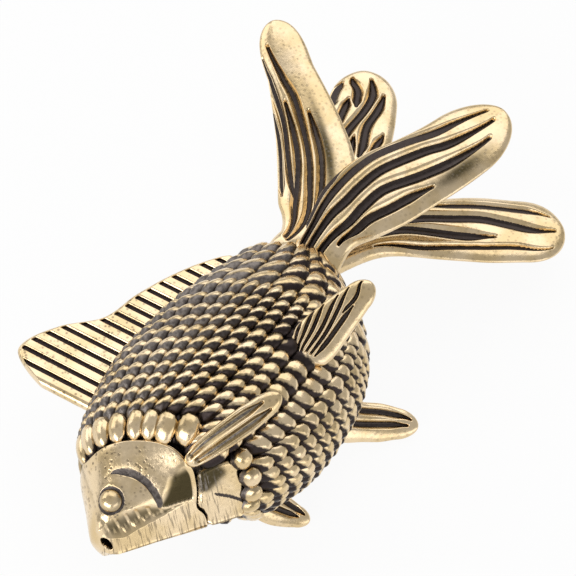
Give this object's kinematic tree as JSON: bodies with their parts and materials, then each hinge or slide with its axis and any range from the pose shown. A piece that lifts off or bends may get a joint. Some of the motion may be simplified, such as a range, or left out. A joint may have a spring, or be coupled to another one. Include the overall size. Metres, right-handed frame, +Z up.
{
  "type": "fish figurine",
  "caption": "Antiqued brass goldfish ornament lying on its side, with overlapping scales, grooved fins and a forked double tail.",
  "frame": {"origin": "under the middle of the whole fish, on the plane it rests on", "axes": "+Y from the snout to the tail, +X from the back to the belly, +Z up out of the left flank"},
  "size_m": [0.0426, 0.0684, 0.0226],
  "materials": {
    "brass": "antiqued: polished high spots, near-black patina in the grooves"
  },
  "bodies": {
    "root": {"body": "brass", "head": "brass", "left_eye": "brass", "right_eye": "brass", "dorsal_fin": "brass", "left_pectoral_fin": "brass", "right_pectoral_fin": "brass", "left_pelvic_fin": "brass", "right_pelvic_fin": "brass", "upper_left_tail_lobe": "brass", "lower_left_tail_lobe": "brass", "upper_right_tail_lobe": "brass", "lower_right_tail_lobe": "brass"}
  },
  "joints": []
}
